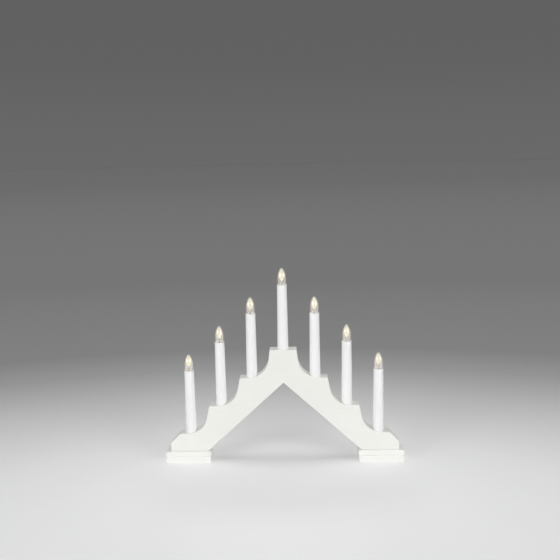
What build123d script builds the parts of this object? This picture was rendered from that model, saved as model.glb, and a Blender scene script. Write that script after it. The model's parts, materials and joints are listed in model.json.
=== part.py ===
"""Seven-light candle arch: a stepped board on two feet, with seven lit candles.

Millimetres. X runs across the arch, Y from its front to its back and Z up.
The origin is on the surface that it stands on, under the middle of the board.
"""

import os
from math import atan2, cos, degrees, hypot, radians, sin, tan

from build123d import *

# Board
BOARD_THICKNESS = 22.0
BOARD_EDGE_RADIUS = 0.8
CANDLES_PER_SIDE = 3
CANDLE_PITCH = 50.8
STEP_RISE = 46.1
STEP_REACH = 19.4
STEP_LEAN = 11.5
STEP_SCALLOP_RADIUS = 31.0
STEP_CORNER_RADIUS = 3.0
PEAK_REACH = 21.3
PEAK_LEAN = 7.0
PEAK_SCALLOP_RADIUS = 33.0
LOWEST_STEP_HEIGHT = 29.2
END_REACH = 32.6
END_CHAMFER = 15.5
END_CORNER_RADIUS = 4.0
BASE_LENGTH = 60.5
PEAK_DEPTH = 53.8
SPOT_FACE_DEPTH = 10.0

# Feet: a profiled batten, cut to length
FOOT_LENGTH = 72.5
FOOT_END_OVERHANG = 7.5
FOOT_LOWER_HEIGHT = 9.5
FOOT_UPPER_HEIGHT = 7.5
FOOT_LOWER_REACH = 8.0
FOOT_UPPER_REACH = 3.5
FOOT_NOSE_RADIUS = 1.6
FOOT_SHOULDER_RADIUS = 1.0

# Foot screws
FOOT_SCREW_RADIUS = 1.75
FOOT_SCREW_HEAD_RADIUS = 3.5
FOOT_SCREW_HEAD_HEIGHT = 2.2
FOOT_SCREW_LENGTH = 28.0
FOOT_SCREW_SINK = 1.0
FOOT_SCREW_SPACING = 34.0
FOOT_SCREW_FORWARD = 6.3

# Wiring channel and its covers, at the back of the board
CHANNEL_ABOVE_NOTCH = 23.0
CHANNEL_ABOVE_BASE = 12.0
CHANNEL_WIDTH = 9.0
CHANNEL_FRONT_WALL = 8.8
REBATE_WIDTH = 17.0
REBATE_DEPTH = 3.0
COVER_THICKNESS = 2.9
COVER_GAP = 0.1
OUTLET_PAST_CANDLE = 17.0

# Cover screws
COVER_SCREW_RADIUS = 1.0
COVER_SCREW_HEAD_RADIUS = 1.9
COVER_SCREW_HEAD_HEIGHT = 1.3
COVER_SCREW_LENGTH = 9.0
COVER_SCREW_OFFSET = 6.4

# Cord bush in the right cover
BUSH_BORE_RADIUS = 3.0
BUSH_WALL = 1.2
BUSH_FLANGE_RADIUS = 5.6
BUSH_FLANGE_HEIGHT = 1.6
BUSH_FLANGE_ROUND = 0.5
BUSH_TAIL = 3.0

# Candle tube
CANDLE_HEIGHT = 104.0
TUBE_BASE_RADIUS = 8.7
TUBE_TOP_RADIUS = 7.7
TUBE_WALL = 1.3
TUBE_FLOOR = 2.0
SPIGOT_RADIUS = 5.5
SPIGOT_LENGTH = 9.0
SPIGOT_WALL = 1.5
SPOT_FACE_GAP = 0.25

# Lampholder for a screw cap of 10 mm, with its shell and centre contact
HOLDER_FLANGE_HEIGHT = 1.2
HOLDER_MOUTH_CLEARANCE = 0.1
HOLDER_THROAT_CLEARANCE = 0.2
HOLDER_THROAT_DEPTH = 3.6
HOLDER_SEAT_DEPTH = 14.4
HOLDER_FLOOR = 2.0
HOLDER_LENGTH = 24.0
HOLDER_SKIRT_WALL = 1.4
HOLDER_GAP = 0.1
SHELL_WALL = 0.35
SHELL_LENGTH = 8.8
SHELL_TAB_WIDTH = 2.4
SHELL_TAB_THICKNESS = 0.5
SHELL_TAB_END = 1.2
CONTACT_HEAD_RADIUS = 2.2
CONTACT_HEAD_HEIGHT = 0.6
CONTACT_STEM_RADIUS = 0.5
CONTACT_TAIL = 2.4

# Bulb
CAP_RADIUS = 4.75
CAP_WALL = 0.35
CAP_TOP_DEPTH = 4.2
CAP_CONE_HEIGHT = 1.0
TIP_RADIUS = 2.7
TIP_PIP_RADIUS = 1.6
TIP_PIP_FLAT_RADIUS = 0.9
TIP_PIP_HEIGHT = 0.6
TIP_PLUG_HEIGHT = 0.7
TIP_GAP = 0.1
BULB_HEIGHT = 26.4
BULB_RADIUS = 6.9
BULB_BELLY_BOTTOM = 1.2
BULB_BELLY_TOP = 10.5
BULB_TIP_RADIUS = 2.7
BULB_NECK_CLEARANCE = 0.15
BULB_NECK_TOP_DEPTH = 3.5
BULB_NECK_LENGTH = 3.0
GLASS_WALL = 0.7
CORE_CLEARANCE = 0.7
CORE_BELLY_RISE = 2.5
CORE_STEM_RADIUS = 1.3
CORE_STEM_HEIGHT = 4.0
CORE_BASE_THICKNESS = 1.5

# Wires and their crimped sleeves
WIRE_RADIUS = 0.9
WIRE_LANE_FRONT = -0.4
WIRE_LANE_BACK = 2.4
WIRE_LANE_RETURN = 5.2
WIRE_EASY_BEND = 8.0
WIRE_TIGHT_BEND = 5.5
WIRE_SET_BEND = 3.0
CRIMP_RADIUS = 1.6
CRIMP_LENGTH = 8.0
CRIMP_GRIP = 3.5
CRIMP_STANDOFF = 0.8

# Fits
SEAT_GAP = 0.05
JOINT_GAP = 0.02

# Places that follow from the sizes above
FOOT_HEIGHT = FOOT_LOWER_HEIGHT + FOOT_UPPER_HEIGHT
FRONT = -BOARD_THICKNESS / 2
BACK = BOARD_THICKNESS / 2
LOWEST_STEP_Z = FOOT_HEIGHT + LOWEST_STEP_HEIGHT
PEAK_Z = LOWEST_STEP_Z + CANDLES_PER_SIDE * STEP_RISE
OUTER_CANDLE_X = CANDLES_PER_SIDE * CANDLE_PITCH
BOARD_END_X = OUTER_CANDLE_X + END_REACH
INNER_CORNER_X = BOARD_END_X - BASE_LENGTH
NOTCH_Z = PEAK_Z - PEAK_DEPTH
LEG_SLOPE = (NOTCH_Z - FOOT_HEIGHT) / INNER_CORNER_X
FOOT_CENTRE_X = BOARD_END_X + FOOT_END_OVERHANG - FOOT_LENGTH / 2
CHANNEL_PEAK_Z = NOTCH_Z + CHANNEL_ABOVE_NOTCH
CHANNEL_BASE_Z = FOOT_HEIGHT + CHANNEL_ABOVE_BASE
CHANNEL_BEND_X = (CHANNEL_PEAK_Z - CHANNEL_BASE_Z) / LEG_SLOPE
CHANNEL_END_X = OUTER_CANDLE_X + OUTLET_PAST_CANDLE
CHANNEL_FLOOR_Y = FRONT + CHANNEL_FRONT_WALL
REBATE_Y = BACK - REBATE_DEPTH
TUBE_LENGTH = CANDLE_HEIGHT - HOLDER_FLANGE_HEIGHT
SHELL_BORE_RADIUS = CAP_RADIUS + SEAT_GAP + JOINT_GAP
SHELL_RADIUS = SHELL_BORE_RADIUS + SHELL_WALL
SPIGOT_BORE_RADIUS = SPIGOT_RADIUS - SPIGOT_WALL
BUSH_RADIUS = BUSH_BORE_RADIUS + BUSH_WALL
CAP_BOTTOM_DEPTH = HOLDER_SEAT_DEPTH - CONTACT_HEAD_HEIGHT - TIP_GAP - TIP_PIP_HEIGHT
CAP_LENGTH = CAP_BOTTOM_DEPTH - CAP_CONE_HEIGHT - CAP_TOP_DEPTH
CRIMP_START_X = CHANNEL_END_X - BUSH_RADIUS - CRIMP_STANDOFF - CRIMP_LENGTH
BULB_NECK_RADIUS = CAP_RADIUS - CAP_WALL - BULB_NECK_CLEARANCE
BULB_SHOULDER_RADIUS = (BULB_NECK_RADIUS + BULB_RADIUS) / 2
BULB_SHOULDER_Z = (BULB_BELLY_BOTTOM - BULB_NECK_TOP_DEPTH) / 2
HOLDER_RADIUS = TUBE_TOP_RADIUS - TUBE_WALL - HOLDER_GAP
HOLDER_MOUTH_RADIUS = BULB_RADIUS + HOLDER_MOUTH_CLEARANCE
HOLDER_THROAT_RADIUS = BULB_SHOULDER_RADIUS + HOLDER_THROAT_CLEARANCE
CANDLE_NUMBERS = range(1, 2 * CANDLES_PER_SIDE + 2)


def save(piece, label):
    """Label a finished piece and write it as one STEP file."""
    piece.part.label = label
    export_step(piece.part, f"parts/{label}.step")


def candle_x(number):
    """Place of a candle's axis; candle 1 is the outermost on the left."""
    return (number - 1 - CANDLES_PER_SIDE) * CANDLE_PITCH


def step_z(number):
    """Height of the step that a candle stands on."""
    return PEAK_Z - abs(number - 1 - CANDLES_PER_SIDE) * STEP_RISE


def rim_z(number):
    """Height of a candle's rim, where its bulb comes out."""
    return step_z(number) + CANDLE_HEIGHT


def upright_plane(x, z):
    """Plane across the arch through a candle's axis, its origin at height z."""
    return Plane(origin=(x, 0, z), x_dir=(1, 0, 0), z_dir=(0, -1, 0))


def upright_axis(x):
    """Axis of a candle."""
    return Axis((x, 0, 0), (0, 0, 1))


def scallop(corner, lean, radius, floor_z):
    """Riser and concave arc from a step's corner down to the next step."""
    arc_top_z = floor_z + radius * (1 - sin(radians(lean)))
    arc_top_x = corner[0] + (corner[1] - arc_top_z) * tan(radians(lean))
    arc_end_x = arc_top_x + radius * cos(radians(lean))
    return (arc_top_x, arc_top_z), (arc_end_x, floor_z)


def half_outline():
    """Right half of the board's outline, from the top's middle to the notch."""
    corner = (PEAK_REACH, PEAK_Z)
    Line((0, PEAK_Z), corner)
    lean, radius = PEAK_LEAN, PEAK_SCALLOP_RADIUS
    for step in range(1, CANDLES_PER_SIDE + 1):
        floor_z = PEAK_Z - step * STEP_RISE
        arc_top, arc_end = scallop(corner, lean, radius, floor_z)
        riser = Line(corner, arc_top)
        TangentArc(arc_top, arc_end, tangent=riser % 1)
        corner = (step * CANDLE_PITCH + STEP_REACH, floor_z)
        if step == CANDLES_PER_SIDE:
            corner = (BOARD_END_X - END_CHAMFER, floor_z)
        Line(arc_end, corner)
        lean, radius = STEP_LEAN, STEP_SCALLOP_RADIUS
    chamfer_foot = (BOARD_END_X, LOWEST_STEP_Z - END_CHAMFER)
    Polyline(corner, chamfer_foot, (BOARD_END_X, FOOT_HEIGHT),
             (INNER_CORNER_X, FOOT_HEIGHT), (0, NOTCH_Z), (0, PEAK_Z))


def is_step_corner(vertex):
    """Whether a corner of the half outline is a step's outer corner."""
    xs = [step * CANDLE_PITCH + STEP_REACH for step in range(1, CANDLES_PER_SIDE)]
    return any(abs(vertex.X - x) < JOINT_GAP for x in xs)


def is_end_corner(vertex):
    """Whether a corner of the half outline is one of the end chamfer's two."""
    high = abs(vertex.X - (BOARD_END_X - END_CHAMFER)) < JOINT_GAP
    low = abs(vertex.Y - (LOWEST_STEP_Z - END_CHAMFER)) < JOINT_GAP
    return high or (low and abs(vertex.X - BOARD_END_X) < JOINT_GAP)


def channel_runs(side):
    """The channel's two straight runs on one side: sloping, then level."""
    peak = (0, CHANNEL_PEAK_Z)
    bend = (side * CHANNEL_BEND_X, CHANNEL_BASE_Z)
    return (peak, bend), (bend, (side * CHANNEL_END_X, CHANNEL_BASE_Z))


def channel_slots(side, width):
    """Round-ended slots along the channel, as a router cuts them."""
    for start, end in channel_runs(side):
        dx, dz = end[0] - start[0], end[1] - start[1]
        with Locations(((start[0] + end[0]) / 2, (start[1] + end[1]) / 2)):
            SlotCenterToCenter(hypot(dx, dz), width, rotation=degrees(atan2(dz, dx)))


def back_plane(y):
    """Plane seen from the back, at depth y; its own x runs along +X."""
    return Plane(origin=(0, y, 0), x_dir=(1, 0, 0), z_dir=(0, -1, 0))


def cover_screw_places(side):
    """Places of one cover's screws, on the ledge beside the channel."""
    slope = atan2(LEG_SLOPE, 1)
    places = []
    for step in range(CANDLES_PER_SIDE):
        x = (2 * step + 1) * CANDLE_PITCH / 2
        z = max(CHANNEL_PEAK_Z - LEG_SLOPE * x, CHANNEL_BASE_Z)
        places.append((side * (x + COVER_SCREW_OFFSET * sin(slope)),
                       z + COVER_SCREW_OFFSET * cos(slope)))
    end_x = OUTER_CANDLE_X + OUTLET_PAST_CANDLE / 2
    places.append((side * end_x, CHANNEL_BASE_Z - COVER_SCREW_OFFSET))
    return places


def foot_screw_places(side):
    """Places of one foot's two screws, in front of the channel."""
    middle_x = side * FOOT_CENTRE_X
    half = FOOT_SCREW_SPACING / 2
    return [(middle_x - half, -FOOT_SCREW_FORWARD), (middle_x + half, -FOOT_SCREW_FORWARD)]


def make_board():
    """Stepped board with its candle holes, wiring channel and screw holes."""
    with BuildPart() as board:
        with BuildSketch(back_plane(BACK)) as outline:
            with BuildLine():
                half_outline()
            make_face()
            fillet(outline.vertices().filter_by(is_step_corner), STEP_CORNER_RADIUS)
            fillet(outline.vertices().filter_by(is_end_corner), END_CORNER_RADIUS)
            mirror(about=Plane.YZ)
        extrude(amount=BOARD_THICKNESS)
        faces = board.faces().filter_by(Axis.Y)
        fillet(faces.edges(), BOARD_EDGE_RADIUS)
        for number in CANDLE_NUMBERS:
            seat = Plane.XY.offset(step_z(number))
            with BuildSketch(seat):
                with Locations((candle_x(number), 0)):
                    Circle(TUBE_BASE_RADIUS + SPOT_FACE_GAP)
            extrude(amount=SPOT_FACE_DEPTH, mode=Mode.SUBTRACT)
            channel_z = max(CHANNEL_PEAK_Z - LEG_SLOPE * abs(candle_x(number)), CHANNEL_BASE_Z)
            with BuildSketch(seat):
                with Locations((candle_x(number), 0)):
                    Circle(SPIGOT_RADIUS + SEAT_GAP)
            extrude(amount=-SPIGOT_LENGTH, mode=Mode.SUBTRACT)
            with BuildSketch(seat):
                with Locations((candle_x(number), 0)):
                    Circle(SPIGOT_BORE_RADIUS)
            extrude(amount=channel_z - step_z(number), mode=Mode.SUBTRACT)
        for side in (-1, 1):
            with BuildSketch(back_plane(BACK)):
                channel_slots(side, REBATE_WIDTH)
            extrude(amount=REBATE_DEPTH, mode=Mode.SUBTRACT)
            with BuildSketch(back_plane(BACK)):
                channel_slots(side, CHANNEL_WIDTH)
            extrude(amount=BACK - CHANNEL_FLOOR_Y, mode=Mode.SUBTRACT)
            with BuildSketch(back_plane(BACK)):
                with Locations(*cover_screw_places(side)):
                    Circle(COVER_SCREW_RADIUS + JOINT_GAP)
            extrude(amount=COVER_SCREW_LENGTH, mode=Mode.SUBTRACT)
            with BuildSketch(Plane.XY.offset(FOOT_SCREW_SINK)):
                with Locations(*foot_screw_places(side)):
                    Circle(FOOT_SCREW_RADIUS + JOINT_GAP)
            extrude(amount=FOOT_SCREW_LENGTH, mode=Mode.SUBTRACT)
    save(board, "arch_board")


def make_foot(side, label):
    """Foot: two-step profile cut to length, with countersunk screw holes."""
    lower_y = BACK + FOOT_LOWER_REACH
    upper_y = BACK + FOOT_UPPER_REACH
    start_x = side * FOOT_CENTRE_X - FOOT_LENGTH / 2
    with BuildPart() as foot:
        with BuildSketch(Plane.YZ.offset(start_x)) as profile:
            with BuildLine():
                Polyline((-lower_y, 0), (lower_y, 0), (lower_y, FOOT_LOWER_HEIGHT),
                         (upper_y, FOOT_LOWER_HEIGHT), (upper_y, FOOT_HEIGHT),
                         (-upper_y, FOOT_HEIGHT), (-upper_y, FOOT_LOWER_HEIGHT),
                         (-lower_y, FOOT_LOWER_HEIGHT), close=True)
            make_face()
            noses = profile.vertices().group_by(Axis.X)
            nose = [corner for corner in noses[0] + noses[-1] if corner.Y > JOINT_GAP]
            fillet(nose, FOOT_NOSE_RADIUS)
            fillet(profile.vertices().group_by(Axis.Y)[-1], FOOT_SHOULDER_RADIUS)
        extrude(amount=FOOT_LENGTH)
        for x, y in foot_screw_places(side):
            with BuildSketch(Plane.XY):
                with Locations((x, y)):
                    Circle(FOOT_SCREW_RADIUS + SEAT_GAP)
            extrude(amount=FOOT_HEIGHT, mode=Mode.SUBTRACT)
            with BuildSketch(Plane(origin=(x, y, 0), x_dir=(1, 0, 0), z_dir=(0, -1, 0))):
                with BuildLine():
                    Polyline((0, 0), (FOOT_SCREW_HEAD_RADIUS + SEAT_GAP, 0),
                             (FOOT_SCREW_HEAD_RADIUS + SEAT_GAP, FOOT_SCREW_SINK),
                             (FOOT_SCREW_RADIUS + SEAT_GAP,
                              FOOT_SCREW_SINK + FOOT_SCREW_HEAD_HEIGHT),
                             (0, FOOT_SCREW_SINK + FOOT_SCREW_HEAD_HEIGHT), close=True)
                make_face()
            revolve(axis=Axis((x, y, 0), (0, 0, 1)), mode=Mode.SUBTRACT)
    save(foot, label)


def screw_section(radius, head_radius, head_height, length):
    """Half section of a countersunk screw; its head's flat top is at zero."""
    point = radius
    return [(0, 0), (head_radius, 0), (radius, head_height), (radius, length - point),
            (0, length)]


def make_foot_screws():
    """Countersunk screws, driven up through the feet into the board."""
    section = screw_section(FOOT_SCREW_RADIUS, FOOT_SCREW_HEAD_RADIUS, FOOT_SCREW_HEAD_HEIGHT,
                            FOOT_SCREW_LENGTH)
    with BuildPart() as screws:
        for side in (-1, 1):
            for x, y in foot_screw_places(side):
                plane = Plane(origin=(x, y, FOOT_SCREW_SINK), x_dir=(1, 0, 0), z_dir=(0, -1, 0))
                with BuildSketch(plane):
                    with BuildLine():
                        Polyline(*section, close=True)
                    make_face()
                revolve(axis=Axis((x, y, 0), (0, 0, 1)))
    save(screws, "foot_screws")


def make_cover(side, label):
    """Cover strip, flush in its rebate, with countersunk screw holes."""
    with BuildPart() as cover:
        with BuildSketch(back_plane(REBATE_Y + COVER_THICKNESS)):
            channel_slots(side, REBATE_WIDTH - 2 * COVER_GAP)
            with Locations((-side * (REBATE_WIDTH - COVER_GAP), CHANNEL_PEAK_Z)):
                Rectangle(2 * REBATE_WIDTH, 2 * REBATE_WIDTH, mode=Mode.SUBTRACT)
        extrude(amount=COVER_THICKNESS)
        if side > 0:
            with BuildSketch(back_plane(BACK)):
                with Locations((CHANNEL_END_X, CHANNEL_BASE_Z)):
                    Circle(BUSH_RADIUS + SEAT_GAP)
            extrude(amount=REBATE_DEPTH, mode=Mode.SUBTRACT)
        top_y = REBATE_Y + COVER_THICKNESS
        for x, z in cover_screw_places(side):
            with BuildSketch(Plane(origin=(x, top_y, z), x_dir=(1, 0, 0), z_dir=(0, 0, 1))):
                with BuildLine():
                    Polyline((0, 0), (COVER_SCREW_HEAD_RADIUS + SEAT_GAP, 0),
                             (COVER_SCREW_RADIUS + SEAT_GAP, -COVER_SCREW_HEAD_HEIGHT),
                             (COVER_SCREW_RADIUS + SEAT_GAP, -COVER_THICKNESS),
                             (0, -COVER_THICKNESS), close=True)
                make_face()
            revolve(axis=Axis((x, top_y, z), (0, 1, 0)), mode=Mode.SUBTRACT)
    save(cover, label)


def make_cover_screws():
    """Small countersunk screws that hold the covers."""
    length = COVER_SCREW_LENGTH - REBATE_DEPTH + COVER_THICKNESS
    section = screw_section(COVER_SCREW_RADIUS, COVER_SCREW_HEAD_RADIUS,
                            COVER_SCREW_HEAD_HEIGHT, length)
    head_y = REBATE_Y + COVER_THICKNESS
    with BuildPart() as screws:
        for side in (-1, 1):
            for x, z in cover_screw_places(side):
                with BuildSketch(Plane(origin=(x, head_y, z), x_dir=(1, 0, 0), z_dir=(0, 0, -1))):
                    with BuildLine():
                        Polyline(*section, close=True)
                    make_face()
                revolve(axis=Axis((x, 0, z), (0, 1, 0)))
    save(screws, "cover_screws")


def make_cord_bush():
    """Flanged bush that lines the cord's hole in the right cover."""
    outside_y = REBATE_Y + COVER_THICKNESS
    with BuildPart() as bush:
        with BuildSketch(back_plane(outside_y - COVER_THICKNESS - BUSH_TAIL)):
            with Locations((CHANNEL_END_X, CHANNEL_BASE_Z)):
                Circle(BUSH_RADIUS)
        extrude(amount=-(COVER_THICKNESS + BUSH_TAIL))
        with BuildSketch(back_plane(outside_y)):
            with Locations((CHANNEL_END_X, CHANNEL_BASE_Z)):
                Circle(BUSH_FLANGE_RADIUS)
        extrude(amount=-BUSH_FLANGE_HEIGHT)
        rim = bush.faces().sort_by(Axis.Y)[-1].edges()
        fillet(rim, BUSH_FLANGE_ROUND)
        with BuildSketch(back_plane(outside_y + BUSH_FLANGE_HEIGHT)):
            with Locations((CHANNEL_END_X, CHANNEL_BASE_Z)):
                Circle(BUSH_BORE_RADIUS)
        extrude(amount=COVER_THICKNESS + BUSH_TAIL + BUSH_FLANGE_HEIGHT, mode=Mode.SUBTRACT)
    save(bush, "cord_bush")


def make_candle_tube(number):
    """Tapered candle tube, open at its top, with a spigot at its base."""
    x = candle_x(number)
    with BuildPart() as tube:
        with BuildSketch(upright_plane(x, step_z(number))):
            with BuildLine():
                Polyline((SPIGOT_BORE_RADIUS, -SPIGOT_LENGTH), (SPIGOT_RADIUS, -SPIGOT_LENGTH),
                         (SPIGOT_RADIUS, 0), (TUBE_BASE_RADIUS, 0),
                         (TUBE_TOP_RADIUS, TUBE_LENGTH),
                         (TUBE_TOP_RADIUS - TUBE_WALL, TUBE_LENGTH),
                         (TUBE_BASE_RADIUS - TUBE_WALL, TUBE_FLOOR),
                         (SPIGOT_BORE_RADIUS, TUBE_FLOOR), close=True)
            make_face()
        revolve(axis=upright_axis(x))
    save(tube, f"candle_tube_{number}")


def make_lampholder(number):
    """Insulating lampholder, dropped into the tube and hung on its rim."""
    x = candle_x(number)
    shell_pocket = SHELL_RADIUS + SEAT_GAP
    with BuildPart() as holder:
        with BuildSketch(upright_plane(x, rim_z(number))) as section:
            with BuildLine():
                Polyline((HOLDER_MOUTH_RADIUS, 0), (TUBE_TOP_RADIUS, 0),
                         (TUBE_TOP_RADIUS, -HOLDER_FLANGE_HEIGHT),
                         (HOLDER_RADIUS, -HOLDER_FLANGE_HEIGHT), (HOLDER_RADIUS, -HOLDER_LENGTH),
                         (HOLDER_RADIUS - HOLDER_SKIRT_WALL, -HOLDER_LENGTH),
                         (HOLDER_RADIUS - HOLDER_SKIRT_WALL, -HOLDER_SEAT_DEPTH - HOLDER_FLOOR),
                         (CONTACT_STEM_RADIUS + SEAT_GAP, -HOLDER_SEAT_DEPTH - HOLDER_FLOOR),
                         (CONTACT_STEM_RADIUS + SEAT_GAP, -HOLDER_SEAT_DEPTH),
                         (shell_pocket, -HOLDER_SEAT_DEPTH),
                         (shell_pocket, -HOLDER_THROAT_DEPTH),
                         (HOLDER_THROAT_RADIUS, -HOLDER_THROAT_DEPTH),
                         (HOLDER_THROAT_RADIUS, BULB_SHOULDER_Z), close=True)
            make_face()
        revolve(axis=upright_axis(x))
        slot_depth = HOLDER_FLOOR + SHELL_TAB_THICKNESS
        with BuildSketch(Plane.XY.offset(rim_z(number) - HOLDER_SEAT_DEPTH)):
            with Locations((x, (SHELL_BORE_RADIUS + SHELL_RADIUS) / 2)):
                Rectangle(SHELL_TAB_WIDTH + 2 * SEAT_GAP, SHELL_WALL + 2 * SEAT_GAP)
        extrude(amount=-slot_depth, mode=Mode.SUBTRACT)
    save(holder, f"lampholder_{number}")


def make_socket_shells():
    """Brass screw shells, each with a solder tab below the holder's floor."""
    with BuildPart() as shells:
        for number in CANDLE_NUMBERS:
            x = candle_x(number)
            floor_z = rim_z(number) - HOLDER_SEAT_DEPTH
            with BuildSketch(Plane.XY.offset(floor_z)):
                with Locations((x, 0)):
                    Circle(SHELL_RADIUS)
                    Circle(SHELL_BORE_RADIUS, mode=Mode.SUBTRACT)
            extrude(amount=SHELL_LENGTH)
            tab_depth = HOLDER_FLOOR + SHELL_TAB_THICKNESS
            tab_y = (SHELL_BORE_RADIUS + SHELL_RADIUS) / 2
            with BuildSketch(Plane.XY.offset(floor_z)):
                with Locations((x, tab_y)):
                    Rectangle(SHELL_TAB_WIDTH, SHELL_WALL)
            extrude(amount=-tab_depth)
            tab_length = SHELL_RADIUS - SHELL_TAB_END
            with BuildSketch(Plane.XY.offset(floor_z - tab_depth)):
                with Locations((x, SHELL_TAB_END + tab_length / 2)):
                    Rectangle(SHELL_TAB_WIDTH, tab_length)
            extrude(amount=SHELL_TAB_THICKNESS - JOINT_GAP)
    save(shells, "socket_shells")


def make_socket_contacts():
    """Centre contacts, riveted through the holders' floors."""
    with BuildPart() as contacts:
        for number in CANDLE_NUMBERS:
            x = candle_x(number)
            floor_z = rim_z(number) - HOLDER_SEAT_DEPTH
            with BuildSketch(upright_plane(x, floor_z)):
                with BuildLine():
                    Polyline((0, CONTACT_HEAD_HEIGHT), (CONTACT_HEAD_RADIUS, CONTACT_HEAD_HEIGHT),
                             (CONTACT_HEAD_RADIUS, 0), (CONTACT_STEM_RADIUS, 0),
                             (CONTACT_STEM_RADIUS, -HOLDER_FLOOR - CONTACT_TAIL),
                             (0, -HOLDER_FLOOR - CONTACT_TAIL), close=True)
                make_face()
            revolve(axis=upright_axis(x))
    save(contacts, "socket_contacts")


def cap_bottom_z(number):
    """Height of a screw cap's lower end, where its insulating plug starts."""
    return rim_z(number) - CAP_BOTTOM_DEPTH


def make_bulb_cap(number):
    """Screw cap of a bulb, without the thread's relief."""
    x = candle_x(number)
    with BuildPart() as cap:
        with BuildSketch(upright_plane(x, cap_bottom_z(number))):
            with BuildLine():
                Polyline((TIP_RADIUS + SEAT_GAP, 0), (CAP_RADIUS, CAP_CONE_HEIGHT),
                         (CAP_RADIUS, CAP_CONE_HEIGHT + CAP_LENGTH),
                         (CAP_RADIUS - CAP_WALL, CAP_CONE_HEIGHT + CAP_LENGTH),
                         (CAP_RADIUS - CAP_WALL, CAP_CONE_HEIGHT + CAP_WALL),
                         (TIP_RADIUS + SEAT_GAP, CAP_WALL), close=True)
            make_face()
        revolve(axis=upright_axis(x))
    save(cap, f"bulb_cap_{number}")


def make_bulb_tip(number):
    """Insulating plug of a cap with the soldered pip that is the centre contact."""
    x = candle_x(number)
    with BuildPart() as tip:
        with BuildSketch(upright_plane(x, cap_bottom_z(number))):
            with BuildLine():
                Polyline((0, TIP_PLUG_HEIGHT), (TIP_RADIUS, TIP_PLUG_HEIGHT), (TIP_RADIUS, 0),
                         (TIP_PIP_RADIUS, 0), (TIP_PIP_FLAT_RADIUS, -TIP_PIP_HEIGHT),
                         (0, -TIP_PIP_HEIGHT), close=True)
            make_face()
        revolve(axis=upright_axis(x))
    save(tip, f"bulb_tip_{number}")


def bulb_crown(belly_z, inset):
    """Ogive side and round tip inside a bulb's outer form, from a belly's height up."""
    belly = BULB_RADIUS - inset
    tip = BULB_TIP_RADIUS - inset
    tip_centre = BULB_HEIGHT - BULB_TIP_RADIUS
    rise = tip_centre - belly_z
    ogive = (belly ** 2 + rise ** 2 - tip ** 2) / (2 * (belly - tip))
    along = tip / (ogive - tip)
    join = ((ogive - belly) * along, tip_centre + rise * along)
    side = TangentArc((belly, belly_z), join, tangent=(0, 1))
    TangentArc(join, (0, tip_centre + tip), tangent=side % 1)
    return (belly, belly_z), (0, tip_centre + tip)


def bulb_outline(inset):
    """Outline of the bulb's glass from its neck to its tip, drawn inset."""
    neck = BULB_NECK_RADIUS - inset
    low, high = -BULB_NECK_TOP_DEPTH, BULB_BELLY_BOTTOM
    middle = (BULB_SHOULDER_RADIUS - inset, BULB_SHOULDER_Z)
    shoulder, top = bulb_crown(BULB_BELLY_TOP, inset)
    belly = shoulder[0]
    neck_line = Line((neck, low - BULB_NECK_LENGTH), (neck, low))
    TangentArc((neck, low), middle, tangent=(0, 1))
    TangentArc((belly, high), middle, tangent=(0, -1))
    Line((belly, high), shoulder)
    return neck_line @ 0, top


def make_bulb_glass(number):
    """Clear glass of a bulb, a closed shell over its neck."""
    x = candle_x(number)
    with BuildPart() as glass:
        with BuildSketch(upright_plane(x, rim_z(number))):
            with BuildLine():
                outer_foot, outer_top = bulb_outline(0)
                inner_foot, inner_top = bulb_outline(GLASS_WALL)
                Line(outer_foot, inner_foot)
                Line(outer_top, inner_top)
            make_face()
        revolve(axis=upright_axis(x))
    save(glass, f"bulb_glass_{number}")


def make_bulb_core(number):
    """Glowing core of a bulb: a flame that fills its glass, on a stem in the neck."""
    x = candle_x(number)
    base_radius = BULB_NECK_RADIUS - GLASS_WALL - SEAT_GAP
    base_z = -BULB_NECK_TOP_DEPTH - BULB_NECK_LENGTH
    with BuildPart() as core:
        with BuildSketch(upright_plane(x, rim_z(number))):
            with BuildLine():
                foot = Polyline((0, base_z), (base_radius, base_z),
                                (base_radius, base_z + CORE_BASE_THICKNESS),
                                (CORE_STEM_RADIUS, base_z + CORE_BASE_THICKNESS),
                                (CORE_STEM_RADIUS, CORE_STEM_HEIGHT))
                belly, top = bulb_crown(BULB_BELLY_TOP + CORE_BELLY_RISE,
                                        GLASS_WALL + CORE_CLEARANCE)
                TangentArc(belly, foot @ 1, tangent=(0, -1))
                Line(top, foot @ 0)
            make_face()
        revolve(axis=upright_axis(x))
    save(core, f"bulb_core_{number}")


def wire_top_z(number, depth):
    """Height at which a wire ends: under the shell's tab or the contact's tail."""
    floor_z = rim_z(number) - HOLDER_SEAT_DEPTH - HOLDER_FLOOR
    if depth == WIRE_LANE_BACK:
        return floor_z - SHELL_TAB_THICKNESS - SEAT_GAP
    return floor_z - CONTACT_TAIL - SEAT_GAP


def channel_point(number, depth):
    """Point where a candle's axis meets the channel's middle line."""
    x = candle_x(number)
    return (x, depth, max(CHANNEL_PEAK_Z - LEG_SLOPE * abs(x), CHANNEL_BASE_Z))


def bend_radii(points, bends):
    """Radii of a route's bends, each no larger than the shorter run beside it allows."""
    route = [Vector(*point) for point in points]
    radii = []
    for before, corner, after, bend in zip(route, route[1:], route[2:], bends):
        back, on = corner - before, after - corner
        room = min(back.length, on.length) / 2
        radii.append(min(bend, room / tan(radians(back.get_angle(on)) / 2)))
    return radii


def sweep_wire(points, bends):
    """Insulated wire along straight runs joined by tangent arcs."""
    with BuildPart() as wire:
        with BuildLine() as route:
            FilletPolyline(*points, radius=bend_radii(points, bends))
        with BuildSketch(Plane(origin=route.line @ 0, z_dir=route.line % 0)):
            Circle(WIRE_RADIUS)
        sweep(path=route.line)
    return wire


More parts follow.
